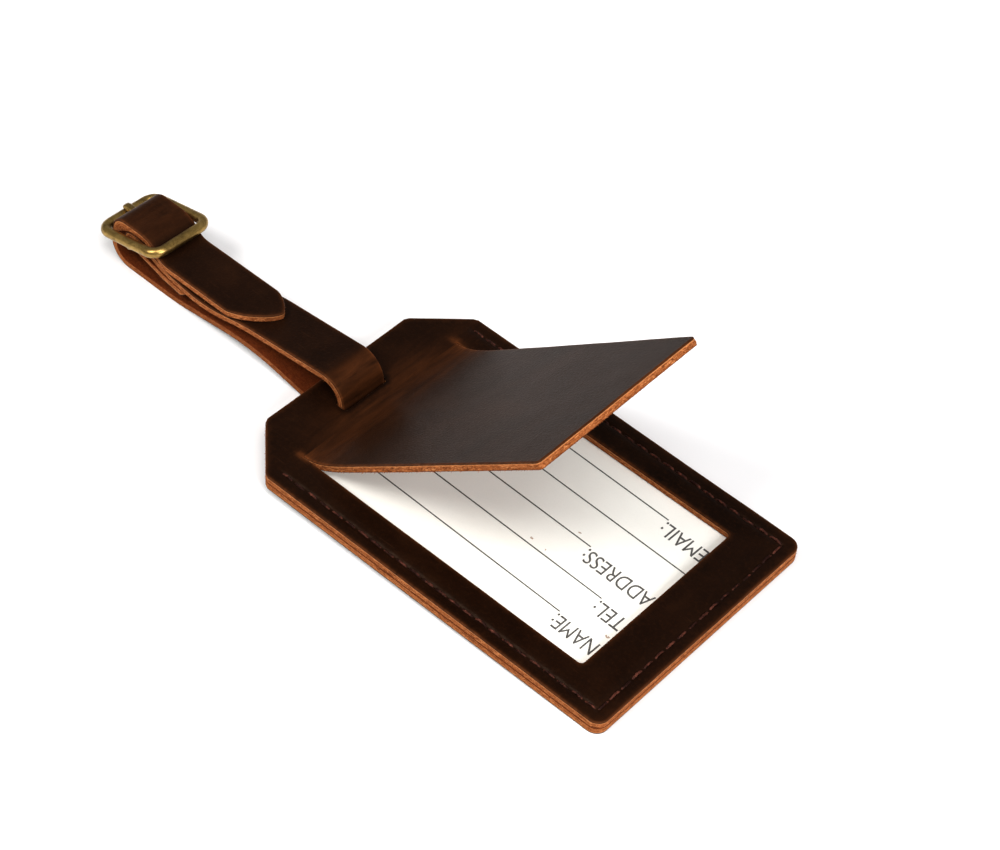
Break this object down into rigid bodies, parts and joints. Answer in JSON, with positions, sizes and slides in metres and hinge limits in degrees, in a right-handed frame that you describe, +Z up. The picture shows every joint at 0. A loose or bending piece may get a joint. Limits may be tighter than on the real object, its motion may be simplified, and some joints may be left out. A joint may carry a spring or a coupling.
{
  "type": "luggage tag",
  "caption": "Leather luggage tag with a stitched two-layer body, a window flap over a name card, and a buckled strap looped through a slot.",
  "frame": {"origin": "middle of the object's footprint on the table that it lies on", "axes": "+X along the tag away from the strap loop, +Y across the tag, +Z up through the front panel"},
  "size_m": [0.1819, 0.071, 0.0543],
  "materials": {
    "grain_leather": "semi-gloss dark brown grain with tan cut edges",
    "strap_leather": "semi-gloss dark brown grain, tan cut edges, reddish flesh side",
    "card": "matte white card with thin dark printed lines",
    "thread": "waxed dark brown sewing thread",
    "antique_brass": "antique brass with worn bright edges"
  },
  "bodies": {
    "tag_body": {"front_panel": "grain_leather", "back_panel": "grain_leather", "needle_thread": "thread", "bobbin_thread": "thread"},
    "flap_body": {"flap": "grain_leather"},
    "card_body": {"id_card": "card"},
    "strap_body": {"strap": "strap_leather", "fold_thread": "thread"},
    "buckle_body": {"buckle_frame": "antique_brass", "buckle_bar": "antique_brass"},
    "tongue_body": {"buckle_tongue": "antique_brass"}
  },
  "joints": [
    {"name": "flap_fold", "type": "hinge", "parent": "tag_body", "child": "flap_body", "pos_m": [-0.00058, 0.0004, 0.00503], "axis": [0, -1, 0], "range_deg": [-39.8, 62]},
    {"name": "card_slide", "type": "slide", "parent": "tag_body", "child": "card_body", "axis": [-0.9998, 0, 0.0214], "range_m": [0, 0.002]},
    {"name": "strap_swing", "type": "hinge", "parent": "tag_body", "child": "strap_body", "pos_m": [-0.00992, -0.0015, 0.0042], "axis": [-0.0209, -0.9998, 0], "range_deg": [-1, 12]},
    {"name": "buckle_rock", "type": "hinge", "parent": "strap_body", "child": "buckle_body", "pos_m": [-0.07981, -0.00004, 0.0099], "axis": [-0.0209, -0.9998, 0], "range_deg": [-1, 3]},
    {"name": "tongue_lift", "type": "hinge", "parent": "buckle_body", "child": "tongue_body", "pos_m": [-0.07981, -0.00004, 0.0099], "axis": [0.0209, 0.9998, 0], "range_deg": [0, 3]}
  ]
}
